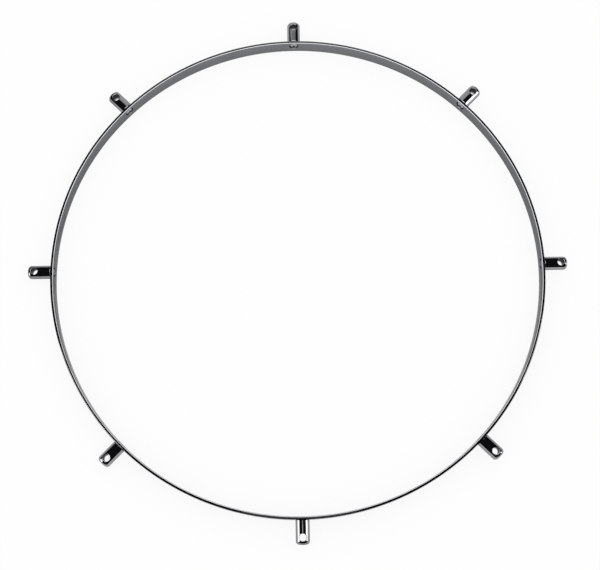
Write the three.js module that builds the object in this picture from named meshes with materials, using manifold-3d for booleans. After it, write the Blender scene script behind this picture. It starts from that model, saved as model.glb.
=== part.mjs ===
// Counter hoop of a drum that is tensioned by long rods.
// A round-edged flat steel bar is rolled into a ring. Round lugs, turned from bar, stand out
// of it all the way round, and each is held by a countersunk screw from inside the ring.
// A tension rod goes through the cross hole near the end of each lug.
// Lengths are millimetres, +Z is up. The origin is the ring's centre, level with its lower edge.

import * as THREE from "three";
import { mergeVertices } from "three/addons/utils/BufferGeometryUtils.js";
import Module from "manifold-3d";

// Hoop band
const hoopOuterDiameter = 522;
const bandHeight = 19;
const bandThickness = 3.2;
const lowerEdgeRadius = 1;
const lowerEdgeLimitShare = 0.4;

// Lugs
const lugCount = 8;
const lugDiameter = 14;
const rodLineOffset = 17;
const rodHoleDiameter = 7.4;
const rodMouthChamfer = 0.5;
const lugTipWall = 3.8;
const lugTipRadius = 3.6;
const lugTipCrown = 0.4;
const lugSeatChamfer = 0.4;

// Lug screws
const screwDiameter = 5;
const screwPointChamfer = 0.7;
const screwTipClearance = 1;
const tappedEndWall = 2;
const countersinkFloor = 0.8;
const headRim = 0.25;
const headCrown = 0.9;
const recessSpan = 4.6;
const recessWidth = 1.1;
const recessDepth = 2.2;
const screwTurn = THREE.MathUtils.degToRad(37);

// Drilled holes end in the cone that a drill leaves
const drillPointShare = 0.6;

// Clearance between neighbouring pieces, and how far a cut runs past what it cuts
const fitGap = 0.3;
const cutOverrun = 2;

// Fineness of the round surfaces
const bandFacetsPerLug = 12;
const lugFacets = 24;
const screwFacets = 16;
const edgeArcSteps = 2;
const upperEdgeSteps = 6;
const tipArcSteps = 4;
const crownSteps = 2;

// What follows from the sizes above
const hoopRadius = hoopOuterDiameter / 2;
const bandFacets = lugCount * bandFacetsPerLug;
const lugAngle = (2 * Math.PI) / lugCount;
const flatShare = Math.cos(Math.PI / bandFacets);
const outerFlat = hoopRadius * flatShare;
const innerFlat = (hoopRadius - bandThickness) * flatShare;

const lugRadius = lugDiameter / 2;
const rodHoleRadius = rodHoleDiameter / 2;
const rodLine = hoopRadius + rodLineOffset;
const lugAxisHeight = bandHeight - lugRadius;
const lugSeat = outerFlat + fitGap;
const lugTip = rodLine + rodHoleRadius + lugTipWall;

const shankRadius = screwDiameter / 2;
const tappedRadius = shankRadius + fitGap;
const drillPoint = tappedRadius * drillPointShare;
const tappedEnd = rodLine - rodHoleRadius - tappedEndWall - drillPoint;
const screwTip = tappedEnd - screwTipClearance;
const headEnd = outerFlat - countersinkFloor;
const headRimEnd = innerFlat + headRim;
const headRadius = shankRadius + headEnd - headRimEnd;
const coneShift = fitGap * (Math.SQRT2 - 1);

const wasm = await Module();
wasm.setup();

const chrome = new THREE.MeshStandardMaterial({ color: 0xc8cbd0, roughness: 0.08, metalness: 1 });
const lugChrome = new THREE.MeshStandardMaterial({ color: 0xc4c7cc, roughness: 0.1, metalness: 1 });
const screwPlate = new THREE.MeshStandardMaterial({ color: 0xa9acb1, roughness: 0.25, metalness: 1 });

/** Points on an arc about (x, y), from one angle to another, both ends included. */
function arc(x, y, radius, from, to, steps) {
  const points = [];
  for (let i = 0; i <= steps; i += 1) {
    const angle = THREE.MathUtils.lerp(from, to, i / steps);
    points.push(new THREE.Vector2(x + radius * Math.cos(angle), y + radius * Math.sin(angle)));
  }
  return points;
}

/** Points on a shallow crown that rises by height from the rim to the axis, rim first. */
function crown(rimRadius, level, height, steps) {
  const points = [];
  for (let i = 1; i <= steps; i += 1) {
    const share = 1 - i / steps;
    points.push(new THREE.Vector2(rimRadius * share, level + height * (1 - share * share)));
  }
  return points;
}

/** A closed manifold solid from a three.js geometry, with shared vertices merged. */
function solidOf(geometry) {
  geometry.deleteAttribute("normal");
  geometry.deleteAttribute("uv");
  const merged = mergeVertices(geometry);
  const index = merged.index.array;
  const corners = [];
  for (let i = 0; i < index.length; i += 3) {
    const [a, b, c] = [index[i], index[i + 1], index[i + 2]];
    if (a !== b && b !== c && c !== a) corners.push(a, b, c);
  }
  const vertProperties = new Float32Array(merged.attributes.position.array);
  const triVerts = new Uint32Array(corners);
  return new wasm.Manifold(new wasm.Mesh({ numProp: 3, vertProperties, triVerts }));
}

/** A solid turned about +Z. The profile is (radius, height), with the metal on its left. */
function turned(profile, facets, start = 0) {
  const lathe = new THREE.LatheGeometry(profile, facets, start);
  lathe.rotateX(Math.PI / 2);
  return solidOf(lathe);
}

/** A solid turned about +X. The profile is (radius, distance along X). */
function turnedAlongX(profile, facets) {
  const lathe = new THREE.LatheGeometry(profile, facets);
  lathe.rotateZ(-Math.PI / 2);
  return solidOf(lathe);
}

/** A three.js mesh with the given name, from a manifold solid. */
function meshOf(name, solid, material) {
  const { vertProperties, triVerts } = solid.getMesh();
  const geometry = new THREE.BufferGeometry();
  geometry.setAttribute("position", new THREE.BufferAttribute(vertProperties, 3));
  geometry.setIndex(new THREE.BufferAttribute(triVerts, 1));
  geometry.computeVertexNormals();
  const mesh = new THREE.Mesh(geometry, material);
  mesh.name = name;
  return mesh;
}

/** Section of the bar: a full round upper edge, and a lower edge with a narrow flat to bear on. */
function bandSection() {
  const inner = hoopRadius - bandThickness;
  const upper = bandThickness / 2;
  const lower = Math.min(lowerEdgeRadius, bandThickness * lowerEdgeLimitShare);
  const points = [
    ...arc(inner + lower, lower, lower, Math.PI, 1.5 * Math.PI, edgeArcSteps),
    ...arc(hoopRadius - lower, lower, lower, 1.5 * Math.PI, 2 * Math.PI, edgeArcSteps),
    ...arc(inner + upper, bandHeight - upper, upper, 0, Math.PI, upperEdgeSteps),
  ];
  points.push(points[0].clone());
  return points;
}

/** The space that one screw takes in the band: its countersink and its clearance hole. */
function screwHole() {
  const profile = [
    new THREE.Vector2(0, innerFlat - cutOverrun),
    new THREE.Vector2(headRadius + fitGap, innerFlat - cutOverrun),
    new THREE.Vector2(headRadius + fitGap, headRimEnd + coneShift),
    new THREE.Vector2(tappedRadius, headEnd + coneShift),
    new THREE.Vector2(tappedRadius, outerFlat + cutOverrun),
    new THREE.Vector2(0, outerFlat + cutOverrun),
  ];
  return turnedAlongX(profile, lugFacets).translate([0, 0, lugAxisHeight]);
}

/** The rolled bar with a countersunk hole behind each lug. */
function hoopBand() {
  let band = turned(bandSection(), bandFacets, Math.PI / bandFacets);
  const hole = screwHole();
  for (let i = 0; i < lugCount; i += 1) {
    const turn = THREE.MathUtils.radToDeg(i * lugAngle);
    band = band.subtract(hole.rotate([0, 0, turn]));
  }
  return meshOf("hoop_band", band, chrome);
}

/** The cross hole for a tension rod, with both mouths chamfered, about the rod's own line. */
function rodHole() {
  const mouth = lugRadius - rodMouthChamfer;
  const end = lugRadius + cutOverrun;
  const endRadius = rodHoleRadius + rodMouthChamfer + cutOverrun;
  const profile = [
    new THREE.Vector2(0, -end),
    new THREE.Vector2(endRadius, -end),
    new THREE.Vector2(rodHoleRadius, -mouth),
    new THREE.Vector2(rodHoleRadius, mouth),
    new THREE.Vector2(endRadius, end),
    new THREE.Vector2(0, end),
  ];
  return turned(profile, lugFacets).translate([rodLine, 0, 0]);
}

/** The blind tapped hole in the lug's seat, as wide as the screw's thread and its gap. */
function tappedHole() {
  const profile = [
    new THREE.Vector2(0, lugSeat - cutOverrun),
    new THREE.Vector2(tappedRadius, lugSeat - cutOverrun),
    new THREE.Vector2(tappedRadius, tappedEnd),
    new THREE.Vector2(0, tappedEnd + drillPoint),
  ];
  return turnedAlongX(profile, screwFacets);
}

/** One turned lug, with its axis on +X. */
function lugSolid() {
  const tipRadius = Math.min(lugTipRadius, lugRadius);
  const tipStart = lugTip - lugTipCrown - tipRadius;
  const profile = [
    new THREE.Vector2(0, lugSeat),
    new THREE.Vector2(lugRadius - lugSeatChamfer, lugSeat),
    new THREE.Vector2(lugRadius, lugSeat + lugSeatChamfer),
    ...arc(lugRadius - tipRadius, tipStart, tipRadius, 0, Math.PI / 2, tipArcSteps),
    ...crown(lugRadius - tipRadius, lugTip - lugTipCrown, lugTipCrown, crownSteps),
  ];
  return turnedAlongX(profile, lugFacets).subtract(rodHole()).subtract(tappedHole());
}

/** The cross recess in a screw's head, as deep as recessDepth below the top of the crown. */
function crossRecess() {
  const length = recessDepth + cutOverrun;
  const middle = innerFlat - headCrown + recessDepth - length / 2;
  const slot = new THREE.BoxGeometry(length, recessSpan, recessWidth);
  slot.translate(middle, 0, 0);
  const upright = solidOf(slot);
  return upright.add(upright.rotate([90, 0, 0]));
}

/** One raised countersunk screw, with its axis on +X and its head towards the ring's centre. */
function screwSolid() {
  const head = crown(headRadius, 0, headCrown, crownSteps + 1);
  const profile = head.reverse().map((point) => new THREE.Vector2(point.x, innerFlat - point.y));
  profile.push(
    new THREE.Vector2(headRadius, innerFlat),
    new THREE.Vector2(headRadius, headRimEnd),
    new THREE.Vector2(shankRadius, headEnd),
    new THREE.Vector2(shankRadius, screwTip - screwPointChamfer),
    new THREE.Vector2(shankRadius - screwPointChamfer, screwTip),
    new THREE.Vector2(0, screwTip),
  );
  return turnedAlongX(profile, screwFacets).subtract(crossRecess());
}

const drumHoop = new THREE.Group();
drumHoop.add(hoopBand());

const lug = lugSolid();
const screw = screwSolid();
for (let i = 0; i < lugCount; i += 1) {
  const station = new THREE.Group();
  station.rotation.z = i * lugAngle;
  station.position.z = lugAxisHeight;
  const screwMesh = meshOf(`lug_screw_${i + 1}`, screw, screwPlate);
  screwMesh.rotation.x = i * screwTurn;
  station.add(meshOf(`lug_${i + 1}`, lug, lugChrome), screwMesh);
  drumHoop.add(station);
}

export default drumHoop;
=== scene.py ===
"""Dresses the drum hoop: a chromed bar rolled into a ring, eight turned lugs and their screws.

Lengths are metres in the part's own frame: +Z is up, the origin is the ring's centre at its lower
edge, and lug_1 stands on +X. Each piece is modelled once, lying on +X, and copied to its station.
"""

import logging
import math
from collections.abc import Callable, Iterator
from contextlib import contextmanager
from dataclasses import dataclass, field
from enum import Enum
from functools import partial
from typing import TypeAlias

import bmesh
import bpy
from mathutils import Matrix, Vector


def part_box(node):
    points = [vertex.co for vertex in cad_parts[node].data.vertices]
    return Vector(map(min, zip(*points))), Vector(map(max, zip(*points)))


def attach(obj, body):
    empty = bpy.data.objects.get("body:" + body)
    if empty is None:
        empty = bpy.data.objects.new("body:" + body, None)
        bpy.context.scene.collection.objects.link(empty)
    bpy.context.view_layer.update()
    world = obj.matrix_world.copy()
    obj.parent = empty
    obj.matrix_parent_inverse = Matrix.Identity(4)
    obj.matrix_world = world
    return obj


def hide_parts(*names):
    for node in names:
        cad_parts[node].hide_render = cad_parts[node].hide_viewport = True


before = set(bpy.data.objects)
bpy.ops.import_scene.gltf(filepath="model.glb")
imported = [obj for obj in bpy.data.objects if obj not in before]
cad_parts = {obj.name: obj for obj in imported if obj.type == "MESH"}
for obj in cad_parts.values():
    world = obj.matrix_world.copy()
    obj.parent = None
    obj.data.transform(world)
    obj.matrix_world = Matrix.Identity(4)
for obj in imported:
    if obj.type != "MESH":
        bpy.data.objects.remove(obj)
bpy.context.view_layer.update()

log = logging.getLogger("drum_hoop")

BODY = "root"

MM = 0.001
MERGE_DISTANCE = 0.001 * MM
SAME_PLACE = 0.01 * MM
SLIVER_SIZE = 0.01 * MM
FULL_TURN = 2 * math.pi
QUARTER_TURN = FULL_TURN / 4
LUG_COUNT = 8
LUG_ANGLE = FULL_TURN / LUG_COUNT
SCREW_TURN = math.radians(37)
SMOOTH_ANGLE = math.radians(16)
WHITE = (1.0, 1.0, 1.0, 1.0)

Point: TypeAlias = tuple[float, float]
Colour: TypeAlias = tuple[float, float, float]
Reading: TypeAlias = "Signal | float | int"


class Element(Enum):
    """What a pick in edit mode takes hold of."""

    VERTICES = "VERT"
    EDGES = "EDGE"
    FACES = "FACE"


class Axis(Enum):
    """The line that a section is turned about."""

    ALONG_X = (1.0, 0.0, 0.0)
    ALONG_Z = (0.0, 0.0, 1.0)

    @property
    def vector(self) -> Vector:
        """The axis as a vector."""
        return Vector(self.value)


@contextmanager
def editing(piece: bpy.types.Object) -> Iterator[None]:
    """Opens a piece in edit mode with nothing selected, and closes it again.

    Args:
        piece: The mesh object to work on.
    """
    activate(piece)
    bpy.ops.object.mode_set(mode="EDIT")
    bpy.ops.mesh.select_all(action="DESELECT")
    yield
    bpy.ops.object.mode_set(mode="OBJECT")


def activate(piece: bpy.types.Object) -> None:
    """Makes a piece the only one that is selected.

    Args:
        piece: The object that the next operators act on.
    """
    bpy.ops.object.select_all(action="DESELECT")
    piece.select_set(True)
    bpy.context.view_layer.objects.active = piece


def pick(kind: Element, wanted: Callable[[Vector], bool]) -> None:
    """Selects the parts of the open piece whose middle passes a test, and no others.

    Args:
        kind: Vertices, edges or faces.
        wanted: Says of a middle point whether its part is selected.
    """
    bpy.ops.mesh.select_mode(type=kind.value)
    bpy.ops.mesh.select_all(action="DESELECT")
    mesh = bmesh.from_edit_mesh(bpy.context.edit_object.data)
    groups = {Element.VERTICES: mesh.verts, Element.EDGES: mesh.edges, Element.FACES: mesh.faces}
    for part in groups[kind]:
        points = [part.co] if kind is Element.VERTICES else [corner.co for corner in part.verts]
        if wanted(sum(points, Vector()) / len(points)):
            part.select_set(True)
    mesh.select_flush_mode()
    bmesh.update_edit_mesh(bpy.context.edit_object.data)


def near(value: float, goal: float) -> bool:
    """Whether two places are the same to a hundredth of a millimetre."""
    return abs(value - goal) < SAME_PLACE


def flat_section(name: str, low: Point, high: Point) -> bpy.types.Object:
    """Adds a rectangle in the XZ plane, the start of a turned or rolled piece.

    Args:
        name: The new object's name.
        low: Its lowest x and z.
        high: Its highest x and z.

    Returns:
        The rectangle, with its place in its mesh.
    """
    bpy.ops.object.select_all(action="DESELECT")
    middle = ((low[0] + high[0]) / 2, 0, (low[1] + high[1]) / 2)
    bpy.ops.mesh.primitive_plane_add(size=1, location=middle, rotation=(QUARTER_TURN, 0, 0))
    section = bpy.context.object
    section.name = name
    section.scale = (high[0] - low[0], high[1] - low[1], 1)
    bpy.ops.object.transform_apply(location=True, rotation=True, scale=True)
    return section


def round_corner(corner: Point, radius: float, steps: int) -> None:
    """Rounds one corner of the open section.

    Args:
        corner: The corner's x and z.
        radius: The radius of the round.
        steps: How many straight steps make the round.
    """
    pick(Element.VERTICES, lambda point: near(point.x, corner[0]) and near(point.z, corner[1]))
    bpy.ops.mesh.bevel(offset=radius, offset_type="ABSOLUTE", segments=steps, affect="VERTICES")


def extend_section(edge_x: float, length: float, radius: float, new_radius: float) -> None:
    """Carries the open section on along X, to a new half width above its axis.

    Args:
        edge_x: The x of the end edge that is carried on.
        length: How far it goes.
        radius: The half width at that edge.
        new_radius: The half width at its new end.
    """
    pick(Element.EDGES, lambda point: near(point.x, edge_x))
    bpy.ops.mesh.extrude_region_move(TRANSFORM_OT_translate={"value": (length, 0, 0)})
    new_end = (edge_x + length, 0, 0)
    bpy.ops.transform.resize(value=(1, 1, new_radius / radius), center_override=new_end)


def crown_end(edge_x: float, radius: float, height: float, cuts: int) -> None:
    """Domes the end of the open section that lies at edge_x.

    Args:
        edge_x: The x of the flat end.
        radius: The half width of that end.
        height: How far its middle comes out, along X.
        cuts: How many points are added between the axis and the rim.
    """
    pick(Element.EDGES, lambda point: near(point.x, edge_x))
    bpy.ops.mesh.subdivide(number_cuts=cuts)
    pick(Element.VERTICES, lambda point: near(point.x, edge_x))
    mesh = bmesh.from_edit_mesh(bpy.context.edit_object.data)
    for vertex in mesh.verts:
        if vertex.select:
            vertex.co.x += height * (1 - (vertex.co.z / radius) ** 2)
    bmesh.update_edit_mesh(bpy.context.edit_object.data)


def turn_section(axis: Axis, centre: Vector, steps: int) -> None:
    """Turns the outline of the open section all the way round, into a closed skin.

    Only the outline is turned, so the section's face and any edge on the axis go first.

    Args:
        axis: The direction of the axis.
        centre: A point on the axis.
        steps: How many steps make the full turn.
    """

    def on_axis(point: Vector) -> bool:
        """Whether a point lies on the axis."""
        return (point - centre).cross(axis.vector).length < MERGE_DISTANCE

    bpy.ops.mesh.select_all(action="SELECT")
    bpy.ops.mesh.remove_doubles(threshold=MERGE_DISTANCE)
    bpy.ops.mesh.delete(type="ONLY_FACE")
    pick(Element.EDGES, on_axis)
    bpy.ops.mesh.delete(type="EDGE")
    bpy.ops.mesh.select_all(action="SELECT")
    bpy.ops.mesh.spin(steps=steps, angle=FULL_TURN, center=centre, axis=axis.value)
    close_skin()


def close_skin() -> None:
    """Merges the open piece's doubles and points its faces outwards."""
    bpy.ops.mesh.select_all(action="SELECT")
    bpy.ops.mesh.remove_doubles(threshold=MERGE_DISTANCE)
    bpy.ops.mesh.normals_make_consistent(inside=False)
    bpy.ops.mesh.select_all(action="DESELECT")


def drop_inner_edges() -> None:
    """Deletes the edges inside the open section, so that only its outline is left."""
    bpy.ops.mesh.select_all(action="SELECT")
    bpy.ops.mesh.dissolve_faces(use_verts=False)


def cut(piece: bpy.types.Object, cutter: bpy.types.Object) -> None:
    """Cuts one piece with another, which is used up.

    Args:
        piece: The piece that keeps what is left.
        cutter: The closed shape that is taken away.
    """
    modifier = piece.modifiers.new("cut", "BOOLEAN")
    modifier.operation = "DIFFERENCE"
    modifier.solver = "EXACT"
    modifier.object = cutter
    activate(piece)
    bpy.ops.object.modifier_apply(modifier=modifier.name)
    bpy.data.objects.remove(cutter)


def copy_turned(piece: bpy.types.Object, name: str, turn: Matrix) -> bpy.types.Object:
    """Copies a piece, with its own mesh, to a turned or moved place.

    Args:
        piece: The piece to copy.
        name: The copy's name.
        turn: Where the copy's mesh goes.

    Returns:
        The copy, with its place in its mesh.
    """
    copy = bpy.data.objects.new(name, piece.data.copy())
    copy.data.name = name
    copy.data.transform(turn)
    bpy.context.scene.collection.objects.link(copy)
    return copy


def join(pieces: list[bpy.types.Object]) -> bpy.types.Object:
    """Joins several pieces into the first one.

    Args:
        pieces: The pieces, of which the others are used up.

    Returns:
        The first piece.
    """
    activate(pieces[0])
    for piece in pieces[1:]:
        piece.select_set(True)
    bpy.ops.object.join()
    return pieces[0]


def clear_slivers(piece: bpy.types.Object) -> None:
    """Takes out the edges and faces of next to no size that cuts leave in a piece.

    Args:
        piece: The piece, whose smallest real edge is about ten times as long as a sliver.
    """
    with editing(piece):
        bpy.ops.mesh.select_all(action="SELECT")
        bpy.ops.mesh.dissolve_degenerate(threshold=SLIVER_SIZE)
        bpy.ops.mesh.select_all(action="SELECT")
        bpy.ops.mesh.remove_doubles(threshold=SLIVER_SIZE)


def smooth(piece: bpy.types.Object) -> None:
    """Shades a piece smooth, apart from its real edges."""
    activate(piece)
    bpy.ops.object.shade_smooth_by_angle(angle=SMOOTH_ANGLE)


def coat(piece: bpy.types.Object, material: bpy.types.Material) -> None:
    """Gives a piece its only material."""
    piece.data.materials.clear()
    piece.data.materials.append(material)


class Signal:
    """The output of a shader node, on which sums are written as on a number."""

    def __init__(self, recipe: "Recipe", socket: bpy.types.NodeSocket) -> None:
        """Wraps one output socket of a node in a recipe."""
        self.recipe = recipe
        self.socket = socket

    def other(self, output: str) -> "Signal":
        """Another output of the same node."""
        return Signal(self.recipe, self.socket.node.outputs[output])

    def __add__(self, value: Reading) -> "Signal":
        """This value and another one, added."""
        return self.recipe.math("ADD", self, value)

    def __sub__(self, value: Reading) -> "Signal":
        """This value less another one."""
        return self.recipe.math("SUBTRACT", self, value)

    def __rsub__(self, value: Reading) -> "Signal":
        """Another value less this one."""
        return self.recipe.math("SUBTRACT", value, self)

    def __mul__(self, value: Reading) -> "Signal":
        """This value times another one."""
        return self.recipe.math("MULTIPLY", self, value)

    def __truediv__(self, value: Reading) -> "Signal":
        """This value divided by another one."""
        return self.recipe.math("DIVIDE", self, value)

    def __pow__(self, value: Reading) -> "Signal":
        """This value to a power."""
        return self.recipe.math("POWER", self, value)

    __radd__ = __add__
    __rmul__ = __mul__


def span(first: Signal, second: Signal) -> Signal:
    """The straight distance that two steps at right angles cover."""
    return (first**2.0 + second**2.0) ** 0.5


class Recipe:
    """A material under construction."""

    # A Mix node has sockets of the same names for each kind of data, so its colours go by number.
    MIX_COLOURS = (6, 7)
    MIX_RESULT = 2

    def __init__(self, name: str) -> None:
        """Starts an empty material.

        Args:
            name: The material's name.
        """
        self.material = bpy.data.materials.new(name)
        self.material.use_nodes = True
        self.tree = self.material.node_tree
        self.tree.nodes.clear()

    def node(self, kind: str, settings: dict, sockets: dict, output: str | int = 0) -> Signal:
        """Adds a node.

        Args:
            kind: The node's type.
            settings: Its own settings, which are set first.
            sockets: A value or a signal for each input, by name or number.
            output: The output that is wanted.

        Returns:
            That output.
        """
        node = self.tree.nodes.new(kind)
        for name, value in settings.items():
            setattr(node, name, value)
        for key, value in sockets.items():
            if isinstance(value, Signal):
                self.tree.links.new(value.socket, node.inputs[key])
            else:
                node.inputs[key].default_value = value
        return Signal(self, node.outputs[output] if node.outputs else None)

    def math(self, operation: str, *values: Reading) -> Signal:
        """One operation on one to three values."""
        return self.node("ShaderNodeMath", {"operation": operation}, dict(enumerate(values)))

    def ease(self, value: Signal, low: float, high: float) -> Signal:
        """Goes smoothly from 0 where the value is at low to 1 where it is at high."""
        sockets = {"Value": value, "From Min": low, "From Max": high}
        return self.node("ShaderNodeMapRange", {"interpolation_type": "SMOOTHSTEP"}, sockets)

    def place(self) -> Signal:
        """The point on the piece, in the part's own frame."""
        return self.node("ShaderNodeTexCoord", {}, {}, "Object")

    def vector(self, x: Reading, y: Reading, z: Reading) -> Signal:
        """A vector from three values."""
        return self.node("ShaderNodeCombineXYZ", {}, {"X": x, "Y": y, "Z": z})

    def noise(self, vector: Signal, scale: float, detail: float, w: Reading = 0.0) -> Signal:
        """Four-dimensional noise from about 0 to 1."""
        sockets = {"Vector": vector, "W": w, "Scale": scale, "Detail": detail}
        return self.node("ShaderNodeTexNoise", {"noise_dimensions": "4D"}, sockets)

    def blend(self, share: Signal, first: Signal | Colour, second: Signal | Colour) -> Signal:
        """A mix of two colours.

        Args:
            share: How much of the second colour shows, from 0 to 1.
            first: The colour at 0.
            second: The colour at 1.

        Returns:
            The mixed colour.
        """
        sockets = {"Factor": share}
        for number, colour in zip(self.MIX_COLOURS, (first, second)):
            sockets[number] = colour if isinstance(colour, Signal) else (*colour, 1.0)
        return self.node("ShaderNodeMix", {"data_type": "RGBA"}, sockets, self.MIX_RESULT)

    def finish(self, shader: Signal) -> bpy.types.Material:
        """Ends the recipe with its surface shader and gives the material."""
        self.node("ShaderNodeOutputMaterial", {}, {"Surface": shader})
        return self.material


@dataclass(frozen=True)
class StationSpace:
    """Places that a pattern follows: the part's own, and those of the nearest lug."""

    place: Signal
    x: Signal
    y: Signal
    z: Signal
    reach: Signal
    station: Signal
    along: Signal
    across: Signal

    @classmethod
    def of(cls, recipe: Recipe) -> "StationSpace":
        """Works the places out in a material.

        Args:
            recipe: The material under construction.

        Returns:
            The part's x, y and z, the distance from its axis, the number of the nearest lug, and
            the places along that lug and across it.
        """
        place = recipe.place()
        x = recipe.node("ShaderNodeSeparateXYZ", {}, {"Vector": place}, "X")
        y, z = x.other("Y"), x.other("Z")
        reach = span(x, y)
        angle = recipe.math("ARCTAN2", y, x)
        station = recipe.math("ROUND", angle / LUG_ANGLE)
        turn = angle - station * LUG_ANGLE
        along = reach * recipe.math("COSINE", turn)
        across = reach * recipe.math("SINE", turn)
        return cls(place, x, y, z, reach, station, along, across)

    def from_lug_axis(self, axis_height: float) -> Signal:
        """The distance from the nearest lug's axis, which lies at that height."""
        return span(self.z - axis_height, self.across)


@dataclass(frozen=True)
class Patches:
    """Soft-edged patches, which show where a noise rises from low to high."""

    scale: float
    detail: float
    low: float
    high: float

    def share(self, recipe: Recipe, place: Signal) -> Signal:
        """How fully a patch covers each point, from 0 to 1."""
        return recipe.ease(recipe.noise(place, self.scale, self.detail), self.low, self.high)


class Grain(Enum):
    """Which way the polishing marks run."""

    ALONG_BAR = "along the bar"
    ROUND_LUG = "round the lug"


@dataclass(frozen=True)
class Plate:
    """Bright plating over polished steel, with the marks that handling leaves and, on some pieces,
    painted shade in the same dark tint.
    """

    name: str
    tint: Colour
    # The dark tint and its roughness serve both real dirt and painted shade.
    dirt_and_shade_tint: Colour
    roughness: float
    streak_roughness: float
    smear_roughness: float
    dirt_and_shade_roughness: float
    grain: Grain
    edge_tint: Colour = (0.5, 0.5, 0.5)
    wave_scale: float = 45.0
    wave_detail: float = 2.0
    wave_height: float = 0.010 * MM
    streak_scale: float = 2600.0
    streak_detail: float = 3.0
    streak_depth: float = 0.02
    slow_scale: float = 18.0
    smears: Patches = Patches(scale=26.0, detail=5.0, low=0.52, high=0.74)
    smear_share: float = 0.35
    specks: Patches = Patches(scale=900.0, detail=1.0, low=0.74, high=0.80)
    speck_share: float = 0.5

    def material(self, soil_and_shade: Callable[[Recipe, StationSpace], Signal]) -> bpy.types.Material:
        """Builds the finish as a material.

        Args:
            soil_and_shade: Gives the share of dirt, dulled metal and painted shade, from 0 to 1,
                at each point.

        Returns:
            The material.
        """
        recipe = Recipe(self.name)
        space = StationSpace.of(recipe)
        streaks = self.streaks(recipe, space)
        smears = self.smears.share(recipe, space.place)
        specks = self.specks.share(recipe, space.place)
        # The painted shade from each piece's masks and the real specks add up here.
        dirt_and_shade_share = recipe.math("MINIMUM", soil_and_shade(recipe, space) + self.speck_share * specks, 1.0)
        smeared = recipe.blend(self.smear_share * smears, self.tint, self.dirt_and_shade_tint)
        polish = self.roughness + self.streak_roughness * streaks + self.smear_roughness * smears
        waves = recipe.noise(space.place, self.wave_scale, self.wave_detail)
        height = waves + self.streak_depth * streaks
        bump = {"Height": height, "Distance": self.wave_height, "Strength": 1.0}
        sockets = {
            # Both dirt and painted shade darken the base colour here.
            "Base Color": recipe.blend(dirt_and_shade_share, smeared, self.dirt_and_shade_tint),
            "Metallic": 1.0,
            "Roughness": polish + self.dirt_and_shade_roughness * dirt_and_shade_share,
            "Specular Tint": (*self.edge_tint, 1.0),
            "Normal": recipe.node("ShaderNodeBump", {}, bump),
        }
        return recipe.finish(recipe.node("ShaderNodeBsdfPrincipled", {}, sockets))

    def streaks(self, recipe: Recipe, space: StationSpace) -> Signal:
        """The fine parallel marks that a polishing wheel leaves.

        Args:
            recipe: The material under construction.
            space: The places that patterns follow.

        Returns:
            How strongly a mark shows, from 0 to 1.
        """
        fine, slow = self.streak_scale, self.slow_scale
        if self.grain is Grain.ALONG_BAR:
            place = recipe.vector(space.x * slow, space.y * slow, space.z * fine)
            return recipe.noise(place, 1.0, self.streak_detail, space.reach * fine)
        place = recipe.vector(space.along * fine, space.across * slow, space.z * slow)
        return recipe.noise(place, 1.0, self.streak_detail, space.station)


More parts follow.
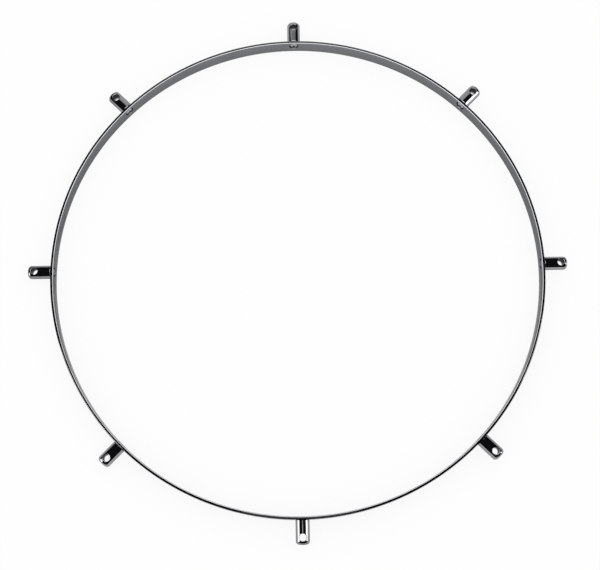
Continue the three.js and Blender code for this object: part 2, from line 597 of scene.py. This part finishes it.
@dataclass
class HoopBar:
    """The rolled flat bar, with rounded edges and a countersunk hole behind each lug."""

    outer_radius: float = 261 * MM
    thickness: float = 3.2 * MM
    upper_round: float = 1.2 * MM
    upper_steps: int = 7
    lower_round: float = 1.0 * MM
    lower_steps: int = 6
    ring_steps: int = 384
    # A patchy darkening towards the bar's lower edge.
    low_darkening_bottom: float = 0.2 * MM
    low_darkening_top: float = 2.6 * MM
    low_darkening_patches: Patches = Patches(scale=60.0, detail=4.0, low=0.35, high=0.75)
    low_darkening_share: float = 0.3
    # Painted shade: the countersink round each screw head is darkened nearly to black.
    countersink_shade_inset: float = 0.06 * MM
    countersink_shade_overlap: float = 0.02 * MM
    countersink_shade_fade: float = 0.12 * MM
    finish: Plate = Plate(
        name="bar_chrome",
        # Partly the chrome's own grey and partly painted shade: this plating is darker than the
        # same chrome on the lugs and screws.
        tint=(0.209, 0.214, 0.225),
        dirt_and_shade_tint=(0.03, 0.0295, 0.0285),
        roughness=0.035,
        streak_roughness=0.035,
        smear_roughness=0.05,
        dirt_and_shade_roughness=0.22,
        grain=Grain.ALONG_BAR,
    )
    height: float = field(init=False)
    inner_radius: float = field(init=False)

    def __post_init__(self) -> None:
        """Takes the bar's height from the frame."""
        self.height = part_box("hoop_band")[1].z
        self.inner_radius = self.outer_radius - self.thickness

    def build(self, screw: "LugScrew", axis_height: float) -> bpy.types.Object:
        """Models the bar.

        Args:
            screw: The screw that its holes are made for.
            axis_height: The height of the holes' axes.

        Returns:
            The finished bar.
        """
        low, high = (self.inner_radius, 0), (self.outer_radius, self.height)
        bar = flat_section("chromed_bar", low, high)
        with editing(bar):
            for x in (self.inner_radius, self.outer_radius):
                round_corner((x, self.height), self.upper_round, self.upper_steps)
                round_corner((x, 0), self.lower_round, self.lower_steps)
            turn_section(Axis.ALONG_Z, Vector(), self.ring_steps)
        hole = screw.countersink(self.inner_radius, self.outer_radius)
        places = [station_turn(i, axis_height) for i in range(LUG_COUNT)]
        holes = [copy_turned(hole, f"hole_{i + 1}", place) for i, place in enumerate(places)]
        bpy.data.objects.remove(hole)
        cut(bar, join(holes))
        clear_slivers(bar)
        smooth(bar)
        return bar

    def dress(self, bar: bpy.types.Object, screw: "LugScrew", axis_height: float) -> None:
        """Gives the bar its finish.

        Args:
            bar: The finished bar.
            screw: The screw whose countersinks get painted shade.
            axis_height: The height of the countersinks' axes.
        """
        soil_and_shade = partial(self.soil_and_shade, screw=screw, axis_height=axis_height)
        coat(bar, self.finish.material(soil_and_shade))

    def soil_and_shade(
        self, recipe: Recipe, space: StationSpace, screw: "LugScrew", axis_height: float
    ) -> Signal:
        """Painted shade in the countersinks round the screw heads, and a patchy darkening towards
        the bar's lower edge.

        Args:
            recipe: The material under construction.
            space: The places that patterns follow.
            screw: The screw whose countersinks get painted shade.
            axis_height: The height of the countersinks' axes.

        Returns:
            The share of the low darkening and the painted shade, from 0 to 1.
        """
        # A patchy darkening towards the bar's lower edge.
        low = 1 - recipe.ease(space.z, self.low_darkening_bottom, self.low_darkening_top)
        low_darkening = low * self.low_darkening_patches.share(recipe, space.place)
        mouth = screw.mouth_radius
        from_axis = space.from_lug_axis(axis_height)
        # Painted shade: the countersink round each head is darkened nearly to black.
        inside = 1 - recipe.ease(from_axis, mouth - self.countersink_shade_inset, mouth + self.countersink_shade_overlap)
        sunk = recipe.ease(space.reach, self.inner_radius, self.inner_radius + self.countersink_shade_fade)
        return self.low_darkening_share * low_darkening + inside * sunk


@dataclass
class Lug:
    """A turned stub with a rounded tip, a rod hole with softened mouths and a tapped hole."""

    rod_offset: float = 17 * MM
    rod_hole_radius: float = 3.7 * MM
    mouth_round: float = 0.55 * MM
    mouth_steps: int = 7
    mouth_end: float = math.radians(70)
    tip_round: float = 3.6 * MM
    tip_steps: int = 10
    tip_crown: float = 0.4 * MM
    crown_cuts: int = 4
    seat_chamfer: float = 0.4 * MM
    seat_gap: float = 0.04 * MM
    tapped_radius: float = 2.8 * MM
    tapped_wall: float = 2.0 * MM
    drill_point: float = 1.68 * MM
    turn_steps: int = 128
    hole_steps: int = 72
    loop_margin: float = 1.6 * MM
    overrun: float = 2 * MM
    # The bore's dark tint is partly its dull drilled metal and partly painted shade; its lower
    # edge is left bright.
    bore_fade: float = 0.15 * MM
    bore_dull_and_shade_share: float = 0.95
    bore_shade_start: float = 5 * MM
    bore_shade_full: float = 2 * MM
    scuff_reach: float = 2.2 * MM
    scuff_patches: Patches = Patches(scale=420.0, detail=4.0, low=0.45, high=0.7)
    scuff_share: float = 0.2
    # Painted shade: the lug's foot is darkened where it meets the bar.
    seat_shade_reach: float = 0.9 * MM
    seat_shade_share: float = 0.7
    finish: Plate = Plate(
        name="lug_chrome_plate",
        tint=(0.34, 0.347, 0.362),
        dirt_and_shade_tint=(0.03, 0.0295, 0.0285),
        roughness=0.04,
        streak_roughness=0.04,
        smear_roughness=0.05,
        dirt_and_shade_roughness=0.26,
        grain=Grain.ROUND_LUG,
    )
    radius: float = field(init=False)
    axis_height: float = field(init=False)
    tip: float = field(init=False)

    def __post_init__(self) -> None:
        """Takes the lug's radius, its axis height and its tip from the frame."""
        low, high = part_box("lug_1")
        self.radius = (high.y - low.y) / 2
        self.axis_height = (high.z + low.z) / 2
        self.tip = high.x

    def rod_line(self, bar: HoopBar) -> float:
        """The x of the rod hole's axis."""
        return bar.outer_radius + self.rod_offset

    def build(self, bar: HoopBar) -> bpy.types.Object:
        """Models the lug on +X, with its axis at height 0.

        Args:
            bar: The bar that it stands on.

        Returns:
            The finished lug.
        """
        seat = bar.outer_radius + self.seat_gap
        rod_line = self.rod_line(bar)
        flat_end = self.tip - self.tip_crown
        lug = flat_section("lug_pattern", (seat, 0), (flat_end, self.radius))
        with editing(lug):
            round_corner((flat_end, self.radius), self.tip_round, self.tip_steps)
            round_corner((seat, self.radius), self.seat_chamfer, 1)
            crown_end(flat_end, self.radius - self.tip_round, self.tip_crown, self.crown_cuts)
            turn_section(Axis.ALONG_X, Vector(), self.turn_steps)
            for side in (-1, 1):
                self.add_loop(rod_line + side * (self.rod_hole_radius + self.loop_margin))
        cut(lug, self.rod_hole(rod_line))
        cut(lug, self.tapped_hole(seat, rod_line))
        clear_slivers(lug)
        smooth(lug)
        return lug

    def add_loop(self, x: float) -> None:
        """Adds an edge loop round the open lug at x, beside its rod hole."""
        bpy.ops.mesh.select_all(action="SELECT")
        bpy.ops.mesh.bisect(plane_co=(x, 0, 0), plane_no=Axis.ALONG_X.value)

    def rod_hole(self, rod_line: float) -> bpy.types.Object:
        """The space of the rod hole, whose softened mouths follow the round lug.

        Args:
            rod_line: The x of the hole's axis.

        Returns:
            The cutter.
        """
        start = self.radius - self.mouth_round
        low, high = (rod_line, -start), (rod_line + self.rod_hole_radius, start)
        cutter = flat_section("rod_hole", low, high)
        with editing(cutter):
            for side in (-1, 1):
                self.flare(rod_line, side * start, side)
            drop_inner_edges()
            turn_section(Axis.ALONG_Z, Vector((rod_line, 0, 0)), self.hole_steps)
            mesh = bmesh.from_edit_mesh(bpy.context.edit_object.data)
            for vertex in mesh.verts:
                drop = self.radius - math.sqrt(self.radius**2 - vertex.co.y**2)
                vertex.co.z -= math.copysign(drop, vertex.co.z)
            bmesh.update_edit_mesh(bpy.context.edit_object.data)
        return cutter

    def flare(self, rod_line: float, level: float, side: int) -> None:
        """Widens one end of the open rod-hole section with a quarter round, then runs it out.

        Args:
            rod_line: The x of the hole's axis.
            level: The height where the round starts.
            side: 1 for the upper mouth and -1 for the lower one.
        """
        width, height = self.rod_hole_radius, 0.0
        rings: list[Point] = []
        for i in range(1, self.mouth_steps + 1):
            angle = self.mouth_end * i / self.mouth_steps
            out = self.rod_hole_radius + self.mouth_round * (1 - math.cos(angle))
            rings.append((out, self.mouth_round * math.sin(angle)))
        rings.append((rings[-1][0] + self.mouth_round, rings[-1][1] + self.overrun))
        for new_width, new_height in rings:
            here = level + side * height
            pick(Element.EDGES, lambda point, here=here: near(point.z, here))
            rise = side * (new_height - height)
            bpy.ops.mesh.extrude_region_move(TRANSFORM_OT_translate={"value": (0, 0, rise)})
            bpy.ops.transform.resize(
                value=(new_width / width, 1, 1), center_override=(rod_line, 0, here + rise)
            )
            width, height = new_width, new_height

    def tapped_hole(self, seat: float, rod_line: float) -> bpy.types.Object:
        """The space of the tapped hole, with the cone that the drill leaves.

        Args:
            seat: The x of the lug's seat.
            rod_line: The x of the rod hole's axis.

        Returns:
            The cutter.
        """
        end = rod_line - self.rod_hole_radius - self.tapped_wall - self.drill_point
        cutter = flat_section("tapped_hole", (seat - self.overrun, 0), (end, self.tapped_radius))
        with editing(cutter):
            pick(Element.VERTICES, lambda point: near(point.x, end) and near(point.z, 0))
            bpy.ops.transform.translate(value=(self.drill_point, 0, 0))
            turn_section(Axis.ALONG_X, Vector(), self.hole_steps)
        return cutter

    def dress(self, lug: bpy.types.Object, bar: HoopBar) -> None:
        """Gives the lug its finish.

        Args:
            lug: The finished lug.
            bar: The bar that it stands on.
        """
        coat(lug, self.finish.material(partial(self.soil_and_shade, bar=bar)))

    def soil_and_shade(self, recipe: Recipe, space: StationSpace, bar: HoopBar) -> Signal:
        """Dull metal and painted shade in the rod hole, a scuffed mouth, and painted shade round
        the seat.

        Args:
            recipe: The material under construction.
            space: The places that patterns follow.
            bar: The bar that the lug stands on.

        Returns:
            The share of dirt, dulled metal and painted shade, from 0 to 1.
        """
        hole, axis, foot = self.rod_hole_radius, self.axis_height, bar.outer_radius
        from_rod = span(space.along - self.rod_line(bar), space.across)
        bore = 1 - recipe.ease(from_rod, hole, hole + self.bore_fade)
        # Partly dull metal and partly painted shade: the bore darkens from just above its lower
        # edge upwards.
        upper_bore = recipe.ease(space.z, axis - self.bore_shade_start, axis - self.bore_shade_full)
        scuff = 1 - recipe.ease(from_rod, hole, hole + self.scuff_reach)
        patches = self.scuff_patches.share(recipe, space.place)
        # Painted shade: the lug's foot is darkened where it meets the bar.
        seat = 1 - recipe.ease(space.along, foot, foot + self.seat_shade_reach)
        dulled = self.bore_dull_and_shade_share * bore * upper_bore
        scuffed = self.scuff_share * scuff * patches * (1 - bore)
        return dulled + scuffed + self.seat_shade_share * seat


@dataclass
class LugScrew:
    """A raised countersunk screw with a tapered cross recess, from inside the bar into a lug."""

    shank_radius: float = 2.5 * MM
    head_radius: float = 4.05 * MM
    head_rim: float = 0.25 * MM
    head_crown: float = 1.15 * MM
    crown_cuts: int = 8
    head_sink: float = 0.8 * MM
    point_chamfer: float = 0.7 * MM
    recess_span: float = 5.6 * MM
    recess_width: float = 1.9 * MM
    recess_depth: float = 2.5 * MM
    recess_taper: float = 0.45
    recess_edge: float = 0.22 * MM
    recess_edge_steps: int = 2
    seat_gap: float = 0.1 * MM
    clearance_radius: float = 2.8 * MM
    turn_steps: int = 72
    overrun: float = 2 * MM
    # Painted shade in the cross recess and along the head's rim.
    recess_shade_top: float = 0.05 * MM
    recess_shade_full: float = 0.5 * MM
    rim_shade_width: float = 0.45 * MM
    rim_shade_share: float = 0.6
    finish: Plate = Plate(
        name="screw_plate_finish",
        tint=(0.40, 0.407, 0.42),
        dirt_and_shade_tint=(0.04, 0.039, 0.037),
        roughness=0.12,
        streak_roughness=0.08,
        smear_roughness=0.06,
        dirt_and_shade_roughness=0.3,
        grain=Grain.ROUND_LUG,
    )
    point: float = field(init=False)

    def __post_init__(self) -> None:
        """Takes the x of the screw's point from the frame."""
        self.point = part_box("lug_screw_1")[1].x

    @property
    def mouth_radius(self) -> float:
        """The radius of the countersink at the bar's inner face."""
        return self.head_radius + self.head_rim + self.head_sink + self.seat_gap

    def build(self, bar: HoopBar) -> bpy.types.Object:
        """Models the screw on +X, with its axis at height 0 and its head towards the origin.

        Args:
            bar: The bar that its head is sunk in.

        Returns:
            The finished screw.
        """
        face = bar.inner_radius + self.head_sink
        rim_end = face + self.head_rim
        head_end = rim_end + self.head_radius - self.shank_radius
        neck = self.point - self.point_chamfer
        end_radius = self.shank_radius - self.point_chamfer
        screw = flat_section("screw_pattern", (face, 0), (rim_end, self.head_radius))
        with editing(screw):
            extend_section(rim_end, head_end - rim_end, self.head_radius, self.shank_radius)
            extend_section(head_end, neck - head_end, self.shank_radius, self.shank_radius)
            extend_section(neck, self.point_chamfer, self.shank_radius, end_radius)
            crown_end(face, self.head_radius, -self.head_crown, self.crown_cuts)
            drop_inner_edges()
            turn_section(Axis.ALONG_X, Vector(), self.turn_steps)
        for turn in (0, QUARTER_TURN):
            cut(screw, self.recess_wing(face - self.head_crown, turn))
        clear_slivers(screw)
        smooth(screw)
        return screw

    def recess_wing(self, top: float, turn: float) -> bpy.types.Object:
        """One of the two slots of the cross recess, drawn in towards its bottom.

        Args:
            top: The x of the crown's top.
            turn: The slot's angle about the screw's axis.

        Returns:
            The cutter.
        """
        length = self.recess_depth + self.overrun
        bottom = top + self.recess_depth
        # The slot's width draws in less than its span does.
        drawn_in = (1, self.recess_taper, self.recess_taper**0.5)
        bpy.ops.object.select_all(action="DESELECT")
        bpy.ops.mesh.primitive_cube_add(size=1, location=(bottom - length / 2, 0, 0))
        wing = bpy.context.object
        wing.scale = (length, self.recess_span, self.recess_width)
        bpy.ops.object.transform_apply(location=True, rotation=True, scale=True)
        with editing(wing):
            pick(Element.FACES, lambda point: near(point.x, bottom))
            bpy.ops.transform.resize(value=drawn_in, center_override=(bottom, 0, 0))
            pick(Element.EDGES, lambda point: bottom - length < point.x < bottom)
            bpy.ops.mesh.bevel(
                offset=self.recess_edge, segments=self.recess_edge_steps, affect="EDGES"
            )
        wing.data.transform(Matrix.Rotation(turn, 4, "X"))
        return wing

    def countersink(self, inner_radius: float, outer_radius: float) -> bpy.types.Object:
        """The space that the screw takes in the bar, where its head sits below the face.

        Args:
            inner_radius: The inner radius of the bar.
            outer_radius: The outer radius of the bar.

        Returns:
            The cutter, on +X with its axis at height 0.
        """
        start = inner_radius - self.overrun
        wide = self.mouth_radius + self.overrun
        neck = start + wide - self.clearance_radius
        length = outer_radius + self.overrun - neck
        cutter = flat_section("countersink", (start - self.overrun, 0), (start, wide))
        with editing(cutter):
            extend_section(start, neck - start, wide, self.clearance_radius)
            extend_section(neck, length, self.clearance_radius, self.clearance_radius)
            drop_inner_edges()
            turn_section(Axis.ALONG_X, Vector(), self.turn_steps)
        return cutter

    def dress(self, screw: bpy.types.Object, bar: HoopBar, axis_height: float) -> None:
        """Gives the screw its finish.

        Args:
            screw: The finished screw.
            bar: The bar that its head is sunk in.
            axis_height: The height of the lugs' axes.
        """
        soil_and_shade = partial(self.soil_and_shade, bar=bar, axis_height=axis_height)
        coat(screw, self.finish.material(soil_and_shade))

    def soil_and_shade(
        self, recipe: Recipe, space: StationSpace, bar: HoopBar, axis_height: float
    ) -> Signal:
        """Painted shade below the crown, in the recess, and along the rim where the head meets its
        countersink.

        Args:
            recipe: The material under construction.
            space: The places that patterns follow.
            bar: The bar that the head is sunk in.
            axis_height: The height of the lugs' axes.

        Returns:
            The share of painted shade, from 0 to 1.
        """
        from_axis = space.from_lug_axis(axis_height)
        crown = self.head_crown * (1 - (from_axis / self.head_radius) ** 2.0)
        sunk = space.along - bar.inner_radius - self.head_sink + crown
        # Painted shade: the recess is darkened below the crown's surface.
        recess = recipe.ease(sunk, self.recess_shade_top, self.recess_shade_full)
        rim_start = self.head_radius - self.rim_shade_width
        # Painted shade: the rim is darkened where the head meets its countersink.
        rim = recipe.ease(from_axis, rim_start, self.head_radius)
        return recipe.math("MAXIMUM", recess, self.rim_shade_share * rim)


def station_turn(number: int, axis_height: float, own_turn: float = 0.0) -> Matrix:
    """Where a piece that was modelled on +X goes.

    Args:
        number: The station, counted from 0 on +X, counter-clockwise.
        axis_height: The height of the lugs' axes.
        own_turn: A turn about the piece's own axis.

    Returns:
        The transform of the piece's mesh.
    """
    lift = Matrix.Translation((0, 0, axis_height))
    return lift @ Matrix.Rotation(number * LUG_ANGLE, 4, "Z") @ Matrix.Rotation(own_turn, 4, "X")


class Facing(Enum):
    """The way that a card faces, as the turn that brings it there from facing up."""

    ALONG_X = (QUARTER_TURN, 0, QUARTER_TURN)
    ALONG_Y = (QUARTER_TURN, 0, 0)
    UP = (0, 0, 0)


@dataclass(frozen=True)
class Card:
    """A flat card or diffuser of the studio that only shows in reflections."""

    name: str
    middle: tuple[float, float, float]
    size: Point
    facing: Facing
    brightness: float
    rounded: bool = False
    rim_steps: int = 96

    def build(self) -> None:
        """Adds the card."""
        place = {"location": self.middle, "rotation": self.facing.value}
        bpy.ops.object.select_all(action="DESELECT")
        if self.rounded:
            bpy.ops.mesh.primitive_circle_add(
                vertices=self.rim_steps, radius=0.5, fill_type="NGON", **place
            )
        else:
            bpy.ops.mesh.primitive_plane_add(size=1, **place)
        card = bpy.context.object
        card.name = self.name
        card.scale = (*self.size, 1)
        bpy.ops.object.transform_apply(location=True, rotation=True, scale=True)
        recipe = Recipe(self.name)
        glow = {"Color": WHITE, "Strength": self.brightness}
        coat(card, recipe.finish(recipe.node("ShaderNodeEmission", {}, glow)))
        for ray in ("camera", "diffuse", "shadow", "transmission", "volume_scatter"):
            setattr(card, f"visible_{ray}", False)


@dataclass
class Studio:
    """The pale floor, the even white light, the cards round the hoop and the camera."""

    floor_size: float = 24.0
    floor_colour: Colour = (0.93, 0.93, 0.93)
    floor_white_share: float = 0.88
    reflected_white_share: float = 0.6
    world_strength: float = 1.0
    room_reach: float = 3.0
    room_height: float = 2.2
    dark: float = 0.012
    focal_pixels: float = 1050.0
    frame_width_pixels: float = 600.0
    sensor_width_mm: float = 36.0
    camera_distance: float = 1.1069
    camera_tilt: float = math.radians(14.45)
    camera_turn: float = math.radians(1.05)
    aim_offset: Point = (-2.3 * MM, 19.9 * MM)

    def build(self, top_height: float) -> None:
        """Builds the whole studio.

        Args:
            top_height: The height of the hoop's upper edge, which the camera's fit was made on.
        """
        self.add_floor()
        self.add_world()
        for card in self.cards():
            card.build()
        self.add_camera(top_height)

    def cards(self) -> list[Card]:
        """What the chrome reflects besides the floor: a dark room, and what stands or hangs in it.

        Returns:
            The cards, each with its middle, its width and height, its facing and its brightness.
        """
        reach, height = self.room_reach, self.room_height
        wall = (2 * reach, height)
        x, y, up = Facing.ALONG_X, Facing.ALONG_Y, Facing.UP
        return [
            Card("dark_ceiling", (0, 0, height), (2 * reach, 2 * reach), up, self.dark),
            Card("dark_wall_east", (reach, 0, height / 2), wall, x, self.dark),
            Card("dark_wall_west", (-reach, 0, height / 2), wall, x, self.dark),
            Card("dark_wall_north", (0, reach, height / 2), wall, y, self.dark),
            Card("dark_wall_south", (0, -reach, height / 2), wall, y, self.dark),
            Card("window_east", (1.2, -0.2, 0.42), (0.36, 0.78), x, 3.6),
            Card("window_west", (-0.75, -0.34, 0.27), (0.48, 0.46), x, 3.6),
            Card("grey_back", (-0.06, 0.5, 0.19), (0.62, 0.38), y, 0.74),
            Card("grey_back_top", (-0.06, 0.5, 0.46), (0.62, 0.16), y, 0.4),
            Card("ceiling_strip", (0, -0.24, 2.0), (0.36, 0.08), up, 1.2),
            Card("round_diffuser", (0, 0.02, 0.1), (0.4, 0.4), up, 5.0, rounded=True),
        ]

    def add_floor(self) -> None:
        """Adds the plain pale floor, which the camera and mirrored rays see as nearly white."""
        bpy.ops.object.select_all(action="DESELECT")
        bpy.ops.mesh.primitive_plane_add(size=self.floor_size)
        floor = bpy.context.object
        floor.name = "pale_floor"
        recipe = Recipe("pale_floor")
        paint = {
            "Base Color": (*self.floor_colour, 1.0),
            "Roughness": 1.0,
            "Specular IOR Level": 0.0,
        }
        matt = recipe.node("ShaderNodeBsdfPrincipled", {}, paint)
        white = recipe.node("ShaderNodeEmission", {}, {"Color": WHITE, "Strength": 1.0})
        seen = recipe.node("ShaderNodeLightPath", {}, {}, "Is Camera Ray")
        reflected = seen.other("Is Glossy Ray") + seen.other("Is Transmission Ray")
        bounced = recipe.math("MINIMUM", reflected, 1.0)
        share = self.floor_white_share * seen + self.reflected_white_share * bounced
        mixed = recipe.node("ShaderNodeMixShader", {}, {0: share, 1: matt, 2: white})
        coat(floor, recipe.finish(mixed))

    def add_world(self) -> None:
        """Adds the even white surroundings that light the floor."""
        world = bpy.data.worlds.new("soft_white")
        world.use_nodes = True
        background = world.node_tree.nodes["Background"]
        background.inputs["Color"].default_value = WHITE
        background.inputs["Strength"].default_value = self.world_strength
        bpy.context.scene.world = world

    def add_camera(self, top_height: float) -> None:
        """Adds the camera where the photograph was taken from.

        Args:
            top_height: The height of the hoop's upper edge.
        """
        data = bpy.data.cameras.new("camera")
        data.sensor_width = self.sensor_width_mm
        data.lens = self.focal_pixels * self.sensor_width_mm / self.frame_width_pixels
        camera = bpy.data.objects.new("camera", data)
        bpy.context.scene.collection.objects.link(camera)
        turn = Matrix.Rotation(-self.camera_turn, 4, "Z")
        aim = turn @ Matrix.Rotation(self.camera_tilt, 4, "X")
        shift_x, shift_y = self.aim_offset
        back = Matrix.Translation((-shift_x, -shift_y, self.camera_distance))
        camera.matrix_world = Matrix.Translation((0, 0, top_height)) @ aim @ back
        bpy.context.scene.camera = camera
        bpy.context.scene.view_settings.view_transform = "Standard"


def fit(piece: bpy.types.Object, node: str) -> None:
    """Puts a piece in a node's place on the part.

    Args:
        piece: The finished piece.
        node: The node that it stands for.
    """
    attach(piece, BODY)
    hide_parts(node)
    log.info("%s stands for %s, with %d faces", piece.name, node, len(piece.data.polygons))


def main() -> None:
    """Builds and dresses the hoop, then its studio."""
    bar, lug, screw = HoopBar(), Lug(), LugScrew()
    bar_piece = bar.build(screw, lug.axis_height)
    bar.dress(bar_piece, screw, lug.axis_height)
    fit(bar_piece, "hoop_band")
    lug_pattern = lug.build(bar)
    lug.dress(lug_pattern, bar)
    screw_pattern = screw.build(bar)
    screw.dress(screw_pattern, bar, lug.axis_height)
    for i in range(LUG_COUNT):
        place = station_turn(i, lug.axis_height)
        fit(copy_turned(lug_pattern, f"turned_lug_{i + 1}", place), f"lug_{i + 1}")
        place = station_turn(i, lug.axis_height, i * SCREW_TURN)
        name = f"raised_screw_{i + 1}"
        fit(copy_turned(screw_pattern, name, place), f"lug_screw_{i + 1}")
    for pattern in (lug_pattern, screw_pattern):
        bpy.data.objects.remove(pattern)
    Studio().build(bar.height)


if __name__ == "__main__":
    logging.basicConfig(level=logging.INFO, format="%(message)s")
    main()
